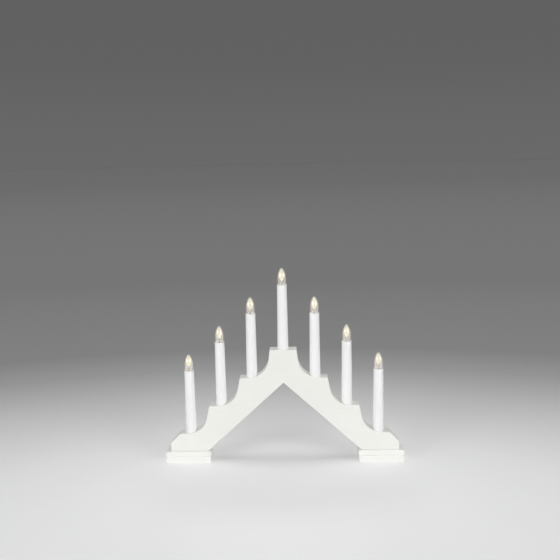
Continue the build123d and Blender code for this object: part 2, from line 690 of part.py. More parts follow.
def make_link_wire(link):
    """Wire from one lampholder to the next, down, along the channel and up."""
    left, right = link, link + 1
    depth = WIRE_LANE_FRONT if link % 2 else WIRE_LANE_BACK
    top_left = (candle_x(left), depth, wire_top_z(left, depth))
    top_right = (candle_x(right), depth, wire_top_z(right, depth))
    points = [top_left, channel_point(left, depth), channel_point(right, depth), top_right]
    bends = [WIRE_TIGHT_BEND, WIRE_EASY_BEND]
    if link > CANDLES_PER_SIDE:
        bends.reverse()
    if link == 1:
        points.insert(2, (-CHANNEL_BEND_X, depth, CHANNEL_BASE_Z))
        bends.insert(1, WIRE_EASY_BEND)
    if link == 2 * CANDLES_PER_SIDE:
        points.insert(2, (CHANNEL_BEND_X, depth, CHANNEL_BASE_Z))
        bends.insert(1, WIRE_EASY_BEND)
    save(sweep_wire(points, bends), f"link_wire_{link}")


def feed_wire():
    """Wire from the cord's first core to the last lampholder on the right."""
    last = CANDLE_NUMBERS[-1]
    depth = WIRE_LANE_FRONT
    points = [(candle_x(last), depth, wire_top_z(last, depth)), channel_point(last, depth),
              (CRIMP_START_X + CRIMP_GRIP, depth, CHANNEL_BASE_Z)]
    return sweep_wire(points, [WIRE_SET_BEND])


def return_wire():
    """Wire from the first lampholder on the left back to the cord's other core."""
    far, near = WIRE_LANE_BACK, WIRE_LANE_RETURN
    points = [(candle_x(1), far, wire_top_z(1, far)), (candle_x(1), far, CHANNEL_BASE_Z),
              (-CHANNEL_BEND_X, near, CHANNEL_BASE_Z), (0, near, CHANNEL_PEAK_Z),
              (CHANNEL_BEND_X, near, CHANNEL_BASE_Z),
              (CRIMP_START_X + CRIMP_GRIP, near, CHANNEL_BASE_Z)]
    return sweep_wire(points, [WIRE_TIGHT_BEND, WIRE_EASY_BEND, WIRE_SET_BEND, WIRE_EASY_BEND])


def make_supply_wires():
    """The two wires that run from the string's ends to the cord's cores."""
    wires = [feed_wire().part, return_wire().part]
    with BuildPart() as pair:
        add(wires)
    save(pair, "supply_wires")


def make_crimp_sleeves():
    """Crimped sleeves that join the two supply wires to the cord's cores."""
    with BuildPart() as sleeves:
        for depth in (WIRE_LANE_FRONT, WIRE_LANE_RETURN):
            plane = Plane(origin=(CRIMP_START_X, depth, CHANNEL_BASE_Z), z_dir=(1, 0, 0))
            with BuildSketch(plane):
                Circle(CRIMP_RADIUS)
                Circle(WIRE_RADIUS + JOINT_GAP, mode=Mode.SUBTRACT)
            extrude(amount=CRIMP_LENGTH)
    save(sleeves, "crimp_sleeves")


def main():
    """Make every piece of the arch."""
    os.makedirs("parts", exist_ok=True)
    make_board()
    for side, name in ((-1, "left"), (1, "right")):
        make_foot(side, f"{name}_foot")
        make_cover(side, f"{name}_cover_strip")
    make_foot_screws()
    make_cover_screws()
    make_cord_bush()
    make_socket_shells()
    make_socket_contacts()
    for number in CANDLE_NUMBERS:
        make_candle_tube(number)
        make_lampholder(number)
        make_bulb_cap(number)
        make_bulb_tip(number)
        make_bulb_glass(number)
        make_bulb_core(number)
    for link in range(1, 2 * CANDLES_PER_SIDE + 1):
        make_link_wire(link)
    make_supply_wires()
    make_crimp_sleeves()


main()
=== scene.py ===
"""Looks of a candle arch: satin paint, moulded candle tubes and lit screw bulbs.

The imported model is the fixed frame. Every place and main size is read from it,
in metres: X runs across the arch, Y from its front to its back and Z up.
"""

import json
import logging
import math
from dataclasses import dataclass, field
from enum import Enum
from typing import Protocol

import bmesh
import bpy
import numpy as np
from mathutils import Matrix, Vector

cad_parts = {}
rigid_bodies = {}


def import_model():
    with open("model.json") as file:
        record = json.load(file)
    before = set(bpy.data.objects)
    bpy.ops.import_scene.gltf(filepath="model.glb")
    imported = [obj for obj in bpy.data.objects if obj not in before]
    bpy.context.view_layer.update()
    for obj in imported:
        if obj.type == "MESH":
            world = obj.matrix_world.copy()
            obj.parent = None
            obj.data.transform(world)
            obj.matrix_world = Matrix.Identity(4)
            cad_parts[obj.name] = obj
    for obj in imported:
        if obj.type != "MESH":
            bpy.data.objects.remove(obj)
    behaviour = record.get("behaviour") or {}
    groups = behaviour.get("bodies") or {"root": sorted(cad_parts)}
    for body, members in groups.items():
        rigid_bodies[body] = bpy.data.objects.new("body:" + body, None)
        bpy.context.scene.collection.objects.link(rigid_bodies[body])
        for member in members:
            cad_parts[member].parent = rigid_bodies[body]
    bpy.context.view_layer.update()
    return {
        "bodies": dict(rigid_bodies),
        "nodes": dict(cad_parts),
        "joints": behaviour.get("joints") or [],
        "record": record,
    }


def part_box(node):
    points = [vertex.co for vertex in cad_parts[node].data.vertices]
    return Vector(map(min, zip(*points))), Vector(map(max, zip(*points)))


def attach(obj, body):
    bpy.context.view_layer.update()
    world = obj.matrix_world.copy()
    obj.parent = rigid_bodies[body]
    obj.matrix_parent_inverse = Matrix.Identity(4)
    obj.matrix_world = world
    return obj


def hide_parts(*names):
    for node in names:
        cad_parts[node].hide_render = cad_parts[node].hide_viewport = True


LOG = logging.getLogger("candle_arch")
MM = 0.001
CANDLES = range(1, 8)
MERGE_DISTANCE = 1e-7
NEAR_ZERO = 1e-6
NOISE_MIDDLE = (0.3, 0.7)

Pair = tuple[float, float]
Triple = tuple[float, float, float]
Socket = bpy.types.NodeSocket
Material = bpy.types.Material


class Grain(Enum):
    """Direction in which a painted batten's grain runs, as noise scales along X, Y and Z."""

    ACROSS = (0.06, 1.0, 1.0)
    NONE = (1.0, 1.0, 1.0)


class ScrewHead(Enum):
    """Way that a screw's head faces: out of the back, or down at the floor."""

    BACKWARD = (Vector((0, 1, 0)), Vector((0, 0, 1)))
    DOWNWARD = (Vector((0, 0, -1)), Vector((1, 0, 0)))


@dataclass(frozen=True)
class Stand:
    """Axis that a turned piece is built about, with the direction of angle zero."""

    centre: Vector
    along: Vector = Vector((0, 0, 1))
    zero: Vector = Vector((1, 0, 0))

    @property
    def side(self) -> Vector:
        """Direction of a quarter turn."""
        return self.along.cross(self.zero)


def rounded(corners: list[Triple], steps: int = 5) -> np.ndarray:
    """Rounds a profile's corners with arcs, as quadratic curves between tangent points.

    Args:
        corners: Radius, height and rounding of each corner, in metres.
        steps: Points on each rounded corner.

    Returns:
        Radius and height of each profile point, one row each.
    """
    places = np.array([corner[:2] for corner in corners])
    points = [places[:1]]
    share = np.linspace(0, 1, steps)[:, None]
    for before, here, after, corner in zip(places, places[1:], places[2:], corners[1:]):
        if corner[2] == 0:
            points.append(here[None])
            continue
        back, on = before - here, after - here
        start = here + back * corner[2] / np.linalg.norm(back)
        end = here + on * corner[2] / np.linalg.norm(on)
        points.append(start * (1 - share) ** 2 + 2 * here * share * (1 - share) + end * share ** 2)
    points.append(places[-1:])
    return np.concatenate(points)


def arc(centre: Pair, radius: float, start: float, end: float, steps: int) -> np.ndarray:
    """Points of an arc in a profile's plane, at equal angles in degrees from start to end.

    Args:
        centre: Radius and height of the arc's centre.
        radius: Its radius.
        start: First angle, from the outward direction.
        end: Last angle.
        steps: How many points.

    Returns:
        Radius and height of each point, one row each.
    """
    angle = np.radians(np.linspace(start, end, steps))
    return np.stack([centre[0] + radius * np.cos(angle), centre[1] + radius * np.sin(angle)], 1)


def turned(stand: Stand, radius: np.ndarray, height: np.ndarray, columns: int,
           ring: bool = False) -> bmesh.types.BMesh:
    """Turns a profile into a closed surface.

    Row i, column j lies at centre + height * along + radius * (cos(a) * zero + sin(a) * side),
    where a is column j's share of a full turn. Rows run down the outside and, on a hollow
    piece, up the inside, so that the faces point out of the material.

    Args:
        stand: Axis of the piece.
        radius: Radius of each row, or of each row and column.
        height: Height of each row along the axis, or of each row and column.
        columns: Columns in a full turn.
        ring: Whether the last row joins the first, as in a tube's wall.

    Returns:
        The surface, with its poles and seam merged.
    """
    radius = radius if radius.ndim == 2 else np.repeat(radius[:, None], columns, 1)
    height = height if height.ndim == 2 else np.repeat(height[:, None], columns, 1)
    angle = np.linspace(0, 2 * np.pi, columns, endpoint=False)
    frame = np.array([stand.zero, stand.side, stand.along])
    local = np.stack([radius * np.cos(angle), radius * np.sin(angle), height], 2)
    points = local.reshape(-1, 3) @ frame + np.array(stand.centre)
    rows = len(radius)
    low = np.arange(rows if ring else rows - 1)[:, None] * columns + np.arange(columns)
    right = low - np.arange(columns) + (np.arange(columns) + 1) % columns
    down = (low + columns) % (rows * columns)
    far = (right + columns) % (rows * columns)
    quads = np.stack([low, down, far, right], 2).reshape(-1, 4)
    mesh = bpy.data.meshes.new("turned")
    mesh.from_pydata(points.tolist(), [], quads.tolist())
    built = bmesh.new()
    built.from_mesh(mesh)
    bpy.data.meshes.remove(mesh)
    bmesh.ops.remove_doubles(built, verts=built.verts, dist=MERGE_DISTANCE)
    return built


def lathe(stand: Stand, profile: np.ndarray, columns: int,
          ring: bool = False) -> bmesh.types.BMesh:
    """Turns a profile whose rows give a radius and a height; see turned."""
    return turned(stand, profile[:, 0], profile[:, 1], columns, ring)


def finish_piece(name: str, parts: list[bmesh.types.BMesh], material: Material,
                 body: str, stands_for: tuple[str, ...] = (), crease: float = 35.0) -> None:
    """Joins surfaces into one named piece, dresses it and hangs it on its body.

    Args:
        name: Name of the piece.
        parts: Its surfaces, which are freed.
        material: Its finish.
        body: The body that it moves with.
        stands_for: CAD nodes that it replaces.
        crease: Angle in degrees past which an edge stays sharp.
    """
    mesh = bpy.data.meshes.new(name)
    joined = bmesh.new()
    for part in parts:
        part.to_mesh(mesh)
        part.free()
        joined.from_mesh(mesh)
    joined.to_mesh(mesh)
    joined.free()
    mesh.polygons.foreach_set("use_smooth", np.ones(len(mesh.polygons), bool))
    mesh.set_sharp_from_angle(angle=math.radians(crease))
    mesh.materials.append(material)
    piece = bpy.data.objects.new(name, mesh)
    bpy.context.scene.collection.objects.link(piece)
    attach(piece, body)
    if stands_for:
        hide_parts(*stands_for)
    LOG.info("%s: %d faces on %s", name, len(mesh.polygons), body)


class Graph:
    """A node tree, with short ways to add what the finishes and the studio share."""

    def __init__(self, tree: bpy.types.NodeTree) -> None:
        """Works on a tree."""
        self.tree = tree

    def link(self, source: Socket, target: Socket) -> None:
        """Joins two sockets."""
        self.tree.links.new(source, target)

    def maths(self, operation: str, first: Socket, second: Socket | float) -> Socket:
        """Works one value out from two.

        Args:
            operation: How, such as ADD.
            first: Socket with the first value.
            second: The second value, or a socket that gives it.

        Returns:
            The result.
        """
        node = self.tree.nodes.new("ShaderNodeMath")
        node.operation = operation
        self.link(first, node.inputs[0])
        if isinstance(second, float):
            node.inputs[1].default_value = second
        else:
            self.link(second, node.inputs[1])
        return node.outputs[0]

    def mapped(self, value: Socket, source: Pair, target: Pair) -> Socket:
        """Maps one range of a value to another, and holds it beyond the range's ends.

        Args:
            value: Socket with the value.
            source: Both ends of the value's range.
            target: What the ends turn into.

        Returns:
            The mapped value.
        """
        node = self.tree.nodes.new("ShaderNodeMapRange")
        names = ("From Min", "From Max", "To Min", "To Max")
        for name, number in zip(names, (*source, *target)):
            node.inputs[name].default_value = number
        self.link(value, node.inputs["Value"])
        return node.outputs["Result"]

    def ramp(self, value: Socket, stops: tuple[Pair, ...]) -> Socket:
        """Grey level as a curve of straight stretches between stops.

        Args:
            value: Socket whose value is looked up.
            stops: Value and grey level of each stop, in order.

        Returns:
            The grey level.
        """
        level = None
        for (start, low), (end, high) in zip(stops, stops[1:]):
            rise = self.mapped(value, (start, end), (0.0, high - low))
            level = self.maths("ADD", rise, low if level is None else level)
        return level

    def offset(self, place: Socket, centre: Pair, breadth: float) -> Socket:
        """Vector from a centre on the ground, squeezed across so that its rounds are wide there.

        Args:
            place: Socket with the coordinates.
            centre: Centre of the rounds.
            breadth: Width of a round across, as a share of its depth.

        Returns:
            The squeezed vector.
        """
        mapping = self.tree.nodes.new("ShaderNodeMapping")
        mapping.vector_type = "TEXTURE"
        mapping.inputs["Location"].default_value = (*centre, 0)
        mapping.inputs["Scale"].default_value = (breadth, 1, 1)
        self.link(place, mapping.inputs["Vector"])
        return mapping.outputs["Vector"]

    def length(self, vector: Socket) -> Socket:
        """Length of a vector.

        Args:
            vector: Socket with the vector.

        Returns:
            Its length.
        """
        node = self.tree.nodes.new("ShaderNodeVectorMath")
        node.operation = "LENGTH"
        self.link(vector, node.inputs[0])
        return node.outputs["Value"]

    def seen(self) -> Socket:
        """Tells the rays that show a surface from those that only light others.

        Returns:
            One where a ray comes from the camera, a reflection or glass, else zero.
        """
        path = self.tree.nodes.new("ShaderNodeLightPath")
        total = path.outputs["Is Camera Ray"]
        for name in ("Is Glossy Ray", "Is Transmission Ray"):
            total = self.maths("MAXIMUM", total, path.outputs[name])
        return total


class NodeWork(Graph):
    """A material's node tree round one Principled shader."""

    def __init__(self, name: str) -> None:
        """Starts the material.

        Args:
            name: Its name.
        """
        self.material = bpy.data.materials.new(name)
        self.material.use_nodes = True
        super().__init__(self.material.node_tree)
        self.shader = self.tree.nodes["Principled BSDF"]
        self.place = self.tree.nodes.new("ShaderNodeTexCoord").outputs["Object"]

    def set(self, **values: object) -> None:
        """Sets the shader's own sockets, named with underscores for spaces."""
        for name, value in values.items():
            self.shader.inputs[name.replace("_", " ")].default_value = value

    def noise(self, size: float, detail: float, along: Triple = Grain.NONE.value) -> Socket:
        """Noise in object coordinates, whose spots are about as wide as size, in metres.

        Args:
            size: Width of a spot.
            detail: Octaves of finer noise in it.
            along: Share of the scale along each axis, to draw the spots out.

        Returns:
            The noise's value, from 0 to 1.
        """
        mapping = self.tree.nodes.new("ShaderNodeMapping")
        mapping.inputs["Scale"].default_value = along
        self.link(self.place, mapping.inputs["Vector"])
        texture = self.tree.nodes.new("ShaderNodeTexNoise")
        texture.inputs["Scale"].default_value = 1 / size
        texture.inputs["Detail"].default_value = detail
        self.link(mapping.outputs["Vector"], texture.inputs["Vector"])
        return texture.outputs["Fac"]

    def tinted(self, base: Socket | Triple, other: Triple, cloud: Socket, most: float) -> Socket:
        """Mixes a colour towards another one where a noise is high.

        Args:
            base: Colour, or a socket that gives it.
            other: The other colour.
            cloud: Socket with the noise.
            most: Share of the other colour at the top of the noise's middle range.

        Returns:
            The mixed colour.
        """
        mix = self.tree.nodes.new("ShaderNodeMix")
        mix.data_type = "RGBA"
        if isinstance(base, tuple):
            mix.inputs["A"].default_value = (*base, 1)
        else:
            self.link(base, mix.inputs["A"])
        mix.inputs["B"].default_value = (*other, 1)
        self.link(self.mapped(cloud, NOISE_MIDDLE, (0.0, most)), mix.inputs["Factor"])
        return mix.outputs["Result"]

    def coloured(self, colour: Socket) -> None:
        """Takes the base colour from a socket."""
        self.link(colour, self.shader.inputs["Base Color"])

    def roughened(self, cloud: Socket, middle: float, change: Pair) -> None:
        """Lets a noise vary the roughness.

        Args:
            cloud: Socket with the noise.
            middle: Roughness that it varies about.
            change: What the noise adds at the bottom and at the top of its middle range.
        """
        least, most = change
        rough = self.mapped(cloud, NOISE_MIDDLE, (middle + least, middle + most))
        self.link(rough, self.shader.inputs["Roughness"])

    def bump(self, height: Socket, depth: float) -> None:
        """Adds relief over what bump the shader has so far.

        Args:
            height: Socket with the relief's height, from 0 to 1.
            depth: Its depth in metres.
        """
        node = self.tree.nodes.new("ShaderNodeBump")
        node.inputs["Distance"].default_value = depth
        self.link(height, node.inputs["Height"])
        normal = self.shader.inputs["Normal"]
        if normal.is_linked:
            self.link(normal.links[0].from_socket, node.inputs["Normal"])
        self.link(node.outputs["Normal"], normal)


class Recipe(Protocol):
    """What a finish is made from."""

    def material(self) -> Material:
        """Builds the finish's node material."""


@dataclass(frozen=True)
class SatinPaint:
    """White satin paint over routed wood: faint grain, roller texture and soft soiling."""

    name: str
    colour: Triple = (0.872, 0.874, 0.835)
    shade: Triple = (0.80, 0.80, 0.755)
    mottle_size: float = 45 * MM
    mottle_detail: float = 4.0
    mottle_share: float = 0.35
    grain: Grain = Grain.ACROSS
    grain_width: float = 2.2 * MM
    grain_detail: float = 5.0
    grain_share: float = 0.3
    grain_depth: float = 0.035 * MM
    roller_size: float = 1.3 * MM
    roller_detail: float = 2.0
    roller_depth: float = 0.03 * MM
    roughness: float = 0.42
    roughness_change: Pair = (-0.04, 0.06)

    def material(self) -> Material:
        """Builds the paint's node material.

        Returns:
            The material.
        """
        work = NodeWork(self.name)
        mottle = work.noise(self.mottle_size, self.mottle_detail)
        grain = work.noise(self.grain_width, self.grain_detail, self.grain.value)
        soiled = work.tinted(self.colour, self.shade, mottle, self.mottle_share)
        work.coloured(work.tinted(soiled, self.shade, grain, self.grain_share))
        work.roughened(grain, self.roughness, self.roughness_change)
        work.bump(grain, self.grain_depth)
        work.bump(work.noise(self.roller_size, self.roller_detail), self.roller_depth)
        return work.material


@dataclass(frozen=True)
class MouldedPlastic:
    """Moulded plastic with a soft gloss, faint flow marks and a fine spark-eroded skin."""

    name: str
    colour: Triple = (0.92, 0.925, 0.92)
    shade: Triple = (0.87, 0.875, 0.875)
    flow_size: float = 14 * MM
    flow_detail: float = 3.0
    flow_along: Triple = (1.0, 1.0, 0.15)
    flow_share: float = 0.4
    skin_size: float = 0.5 * MM
    skin_detail: float = 2.0
    skin_depth: float = 0.006 * MM
    roughness: float = 0.26
    roughness_change: Pair = (-0.03, 0.05)

    def material(self) -> Material:
        """Builds the plastic's node material.

        Returns:
            The material.
        """
        work = NodeWork(self.name)
        flow = work.noise(self.flow_size, self.flow_detail, self.flow_along)
        work.coloured(work.tinted(self.colour, self.shade, flow, self.flow_share))
        work.roughened(flow, self.roughness, self.roughness_change)
        work.bump(work.noise(self.skin_size, self.skin_detail), self.skin_depth)
        return work.material


@dataclass(frozen=True)
class RolledMetal:
    """Thin rolled and plated metal: fine rolling lines round it and a little tarnish."""

    name: str
    colour: Triple
    tarnish: Triple
    tarnish_size: float = 3 * MM
    tarnish_detail: float = 5.0
    tarnish_share: float = 0.6
    line_size: float = 0.35 * MM
    line_detail: float = 2.0
    line_along: Triple = (0.1, 0.1, 1.0)
    line_depth: float = 0.008 * MM
    roughness: float = 0.24
    roughness_change: Pair = (-0.06, 0.14)

    def material(self) -> Material:
        """Builds the metal's node material.

        Returns:
            The material.
        """
        work = NodeWork(self.name)
        work.set(Metallic=1.0)
        cloud = work.noise(self.tarnish_size, self.tarnish_detail)
        work.coloured(work.tinted(self.colour, self.tarnish, cloud, self.tarnish_share))
        work.roughened(cloud, self.roughness, self.roughness_change)
        work.bump(work.noise(self.line_size, self.line_detail, self.line_along), self.line_depth)
        return work.material


@dataclass(frozen=True)
class BlownGlass:
    """Clear blown glass: a slightly wavy wall, with a faint warm glow painted on for the core's
    light scattered in it.
    """

    name: str
    colour: Triple = (0.99, 0.985, 0.97)
    painted_glow: Triple = (1.0, 0.95, 0.89)
    painted_glow_strength: float = 0.07
    wave_size: float = 6 * MM
    wave_detail: float = 1.0
    wave_depth: float = 0.03 * MM
    refraction: float = 1.45

    def material(self) -> Material:
        """Builds the glass's node material.

        Returns:
            The material.
        """
        work = NodeWork(self.name)
        # The emission is a painted glow on the glass, standing in for the core's light that the
        # glass scatters.
        work.set(Base_Color=(*self.colour, 1), Roughness=0.0, Transmission_Weight=1.0,
                 IOR=self.refraction, Emission_Color=(*self.painted_glow, 1),
                 Emission_Strength=self.painted_glow_strength)
        work.bump(work.noise(self.wave_size, self.wave_detail), self.wave_depth)
        return work.material


@dataclass(frozen=True)
class LitCore:
    """Warm, softly clouded light guide in a bulb; a low cover lets what is inside show through."""

    name: str
    colour: Triple = (0.42, 0.38, 0.31)
    shade: Triple = (0.25, 0.21, 0.15)
    glow: Triple = (1.0, 0.94, 0.72)
    strength: float = 0.56
    cover: float = 1.0
    cloud_size: float = 4 * MM
    cloud_detail: float = 2.0
    cloud_share: float = 0.8
    roughness: float = 0.6
    specular: float = 0.2

    def material(self) -> Material:
        """Builds the core's node material.

        Returns:
            The material.
        """
        work = NodeWork(self.name)
        work.set(Emission_Color=(*self.glow, 1), Emission_Strength=self.strength,
                 Roughness=self.roughness, Specular_IOR_Level=self.specular, Alpha=self.cover)
        cloud = work.noise(self.cloud_size, self.cloud_detail)
        work.coloured(work.tinted(self.colour, self.shade, cloud, self.cloud_share))
        return work.material


@dataclass(frozen=True)
class DarkInsulator:
    """Dark fused-glass insulator in the end of a screw cap."""

    name: str
    colour: Triple = (0.02, 0.018, 0.02)
    shade: Triple = (0.06, 0.05, 0.07)
    cloud_size: float = 1.5 * MM
    cloud_detail: float = 3.0
    cloud_depth: float = 0.02 * MM
    roughness: float = 0.18

    def material(self) -> Material:
        """Builds the insulator's node material.

        Returns:
            The material.
        """
        work = NodeWork(self.name)
        work.set(Roughness=self.roughness)
        cloud = work.noise(self.cloud_size, self.cloud_detail)
        work.coloured(work.tinted(self.colour, self.shade, cloud, 1.0))
        work.bump(cloud, self.cloud_depth)
        return work.material


def made(recipe: Recipe) -> Material:
    """Field whose material is built from its recipe when the finishes are made."""
    return field(default_factory=recipe.material)


@dataclass
class Finishes:
    """Every finish of the arch, made once."""

    board: Material = made(SatinPaint("board_paint"))
    foot: Material = made(SatinPaint("foot_paint", colour=(0.885, 0.89, 0.87)))
    cover: Material = made(SatinPaint("cover_paint", grain=Grain.NONE, roughness=0.5))
    candle: Material = made(MouldedPlastic("candle_plastic"))
    holder: Material = made(MouldedPlastic("holder_plastic", roughness=0.45))
    bush: Material = made(MouldedPlastic("bush_plastic", roughness=0.38))
    jacket: Material = made(MouldedPlastic("wire_jacket", roughness=0.34))
    brass: Material = made(RolledMetal("socket_brass", (0.80, 0.60, 0.29), (0.55, 0.38, 0.17)))
    nickel: Material = made(RolledMetal("cap_nickel", (0.74, 0.71, 0.66), (0.52, 0.48, 0.42)))
    zinc: Material = made(RolledMetal("screw_zinc", (0.70, 0.71, 0.73), (0.50, 0.50, 0.50),
                                      roughness=0.34))
    tinned: Material = made(RolledMetal("tinned_copper", (0.72, 0.72, 0.71), (0.58, 0.55, 0.50),
                                        roughness=0.36))
    solder: Material = made(RolledMetal("solder", (0.60, 0.60, 0.60), (0.40, 0.40, 0.41),
                                        tarnish_size=1 * MM, roughness=0.3))
    insulator: Material = made(DarkInsulator("cap_insulator"))
    glass: Material = made(BlownGlass("bulb_glass"))
    core: Material = made(LitCore("lit_core", strength=0.4, cover=0.25))
    heart: Material = made(LitCore("lit_heart"))
    stem: Material = made(MouldedPlastic("core_stem", (0.50, 0.46, 0.40), (0.32, 0.29, 0.25),
                                         flow_size=3 * MM))


@dataclass
class Timber:
    """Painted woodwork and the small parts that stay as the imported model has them."""

    frame: dict
    finishes: Finishes

    def build(self) -> None:
        """Dresses the carried-over nodes."""
        finishes = self.finishes
        dress = {
            "arch_board": finishes.board,
            "left_foot": finishes.foot,
            "right_foot": finishes.foot,
            "left_cover_strip": finishes.cover,
            "right_cover_strip": finishes.cover,
            "cord_bush": finishes.bush,
            "crimp_sleeves": finishes.tinned,
            "supply_wires": finishes.jacket,
            "socket_contacts": finishes.brass,
            "socket_shells": finishes.brass,
        }
        for name, node in self.frame["nodes"].items():
            if name.startswith("link_wire"):
                dress[name] = finishes.jacket
            if name.startswith("lampholder"):
                dress[name] = finishes.holder
            if name in dress:
                node.data.materials.clear()
                node.data.materials.append(dress[name])
                LOG.info("%s dressed as %s", name, dress[name].name)


@dataclass
class CandleTube:
    """Tapered candle tube with a softened lip and foot."""

    finishes: Finishes
    columns: int = 96
    wall: float = 1.3 * MM
    floor: float = 2.0 * MM
    spigot_radius: float = 5.5 * MM
    spigot_length: float = 9.0 * MM
    spigot_wall: float = 1.5 * MM
    taper: float = 1.0 * MM
    lip: float = 0.35 * MM
    foot: float = 0.5 * MM

    def build(self, number: int) -> None:
        """Makes one tube in the box of its node.

        Args:
            number: Which tube, from 1 at the left.
        """
        low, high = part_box(f"candle_tube_{number}")
        axis, base, length = (low + high) / 2, (high.x - low.x) / 2, high.z - low.z
        top, bore = base - self.taper, self.spigot_radius - self.spigot_wall
        foot_z = self.spigot_length
        profile = rounded([
            (top - self.wall, length, 0), (top, length, self.lip), (base, foot_z, self.foot),
            (self.spigot_radius, foot_z, 0), (self.spigot_radius, 0, self.foot), (bore, 0, 0),
            (bore, foot_z + self.floor, 0), (base - self.wall, foot_z + self.floor, 0),
        ])
        stand = Stand(Vector((axis.x, axis.y, low.z)))
        surface = lathe(stand, profile, self.columns, ring=True)
        finish_piece(f"tube_{number}", [surface], self.finishes.candle, "root",
                     (f"candle_tube_{number}",))


@dataclass
class Bulb:
    """Pointed clear bulb with its lit core, threaded cap and contact."""

    finishes: Finishes
    thread_pitch: float
    columns: int = 96
    short_arc: int = 12
    long_arc: int = 24
    belly_bottom: float = 1.2 * MM
    belly_top: float = 10.5 * MM
    tip_radius: float = 3.3 * MM
    neck_radius: float = 4.25 * MM
    neck_length: float = 3.0 * MM
    neck_top: float = -3.5 * MM
    glass_wall: float = 0.7 * MM
    core_belly_rise: float = 2.5 * MM
    core_clearance: float = 0.7 * MM
    heart_radius: float = 3.9 * MM
    heart_bottom: float = 6.0 * MM
    heart_top: float = 22.8 * MM
    heart_rows: int = 40
    stem_radius: float = 1.3 * MM
    stem_rounding: float = 0.4 * MM
    stem_top: float = 4.0 * MM
    stem_end_share: float = 0.6
    stem_end_rounding: float = 0.2 * MM
    root_rounding: float = 0.6 * MM
    base_height: float = 1.5 * MM
    base_rounding: float = 0.3 * MM
    fit: float = 0.05 * MM
    thread_depth: float = 0.42 * MM
    cap_rows: int = 72
    cap_wall: float = 0.3 * MM
    cone_height: float = 1.0 * MM
    plug_radius: float = 2.7 * MM
    plug_rounding: float = 0.15 * MM
    plug_columns: int = 64
    pip_share: float = 0.46
    pip_height: float = 0.6 * MM
    pip_seat: float = 0.1 * MM
    pip_arc: int = 10

    def crown(self, belly: float, height: float, belly_z: float, inset: float) -> np.ndarray:
        """Upper outline of the glass or its core: a round tip and an ogive side.

        The two arcs share a tangent, and the side stands upright at the belly.

        Args:
            belly: Outer radius of the glass's belly.
            height: Height of the glass's tip above the rim.
            belly_z: Height above the rim at which the outline starts to draw in.
            inset: How far inside the glass's outer surface the outline lies.

        Returns:
            Radius and height above the rim of each point, from the tip down.
        """
        belly, tip = belly - inset, self.tip_radius - inset
        tip_z = height - self.tip_radius
        rise = tip_z - belly_z
        ogive = (belly ** 2 + rise ** 2 - tip ** 2) / (2 * (belly - tip))
        lean = math.degrees(math.atan2(rise, ogive - belly))
        side = arc((belly - ogive, belly_z), ogive, lean, 0, self.long_arc)
        return np.concatenate([arc((0, tip_z), tip, 90, lean, self.short_arc), side[1:]])

    def glass_profile(self, belly: float, height: float, inset: float) -> np.ndarray:
        """Glass outline from its tip to its neck's foot: its crown, then two equal arcs.

        The arcs draw the belly in to the neck and are upright where they meet them.

        Args:
            belly: Outer radius of the belly.
            height: Height of the tip above the rim.
            inset: How far inside the outer surface the outline lies.

        Returns:
            Radius and height above the rim of each point, one row each.
        """
        crown = self.crown(belly, height, self.belly_top, inset)
        belly, neck = belly - inset, self.neck_radius - inset
        wide, tall = belly - neck, self.belly_bottom - self.neck_top
        bend = (wide ** 2 + tall ** 2) / (4 * wide)
        turn = math.degrees(math.asin(tall / 2 / bend))
        return np.concatenate([
            crown,
            arc((belly - bend, self.belly_bottom), bend, 0, -turn, self.short_arc),
            arc((neck + bend, self.neck_top), bend, 180 - turn, 180, self.short_arc)[1:],
            [[neck, self.neck_top - self.neck_length]],
        ])

    def glass(self, number: int, rim: Vector) -> None:
        """Makes the clear glass: down its outside, round its neck's foot and up its inside.

        Args:
            number: Which bulb, from 1 at the left.
            rim: Middle of the rim of its lampholder.
        """
        low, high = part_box(f"bulb_glass_{number}")
        belly, height = (high.x - low.x) / 2, high.z - rim.z
        profile = np.concatenate([self.glass_profile(belly, height, 0),
                                  self.glass_profile(belly, height, self.glass_wall)[::-1]])
        surface = lathe(Stand(rim), profile, self.columns)
        finish_piece(f"glass_{number}", [surface], self.finishes.glass,
                     f"bulb_{number}", (f"bulb_glass_{number}",))

    def core(self, number: int, rim: Vector) -> None:
        """Makes the lit core's half-clear skin, a flame that fills the glass.

        Below the belly the flame's side is one arc, upright at the belly, down to the stem.

        Args:
            number: Which bulb, from 1 at the left.
            rim: Middle of the rim of its lampholder.
        """
        low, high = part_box(f"bulb_glass_{number}")
        inset = self.glass_wall + self.core_clearance
        belly_z = self.belly_top + self.core_belly_rise
        crown = self.crown((high.x - low.x) / 2, high.z - rim.z, belly_z, inset)
        belly = crown[-1, 0]
        wide, tall = belly - self.stem_radius, belly_z - self.stem_top
        flank = (wide ** 2 + tall ** 2) / (2 * wide)
        turn = math.degrees(math.asin(tall / flank))
        side = arc((belly - flank, belly_z), flank, 0, -turn, self.long_arc)
        profile = np.concatenate([crown, side[1:], [[0, self.stem_top]]])
        surface = lathe(Stand(rim), profile, self.columns)
        finish_piece(f"core_{number}", [surface], self.finishes.core,
                     f"bulb_{number}", (f"bulb_core_{number}",))

    def heart(self, number: int, rim: Vector) -> None:
        """Makes the bright heart inside the core's skin, widest halfway up and round at its ends.

        Args:
            number: Which bulb, from 1 at the left.
            rim: Middle of the rim of its lampholder.
        """
        share = np.linspace(1, 0, self.heart_rows)
        radius = self.heart_radius * np.sqrt(np.sin(np.pi * share))
        height = self.heart_bottom + share * (self.heart_top - self.heart_bottom)
        surface = turned(Stand(rim), radius, height, self.columns)
        finish_piece(f"heart_{number}", [surface], self.finishes.heart,
                     f"bulb_{number}")

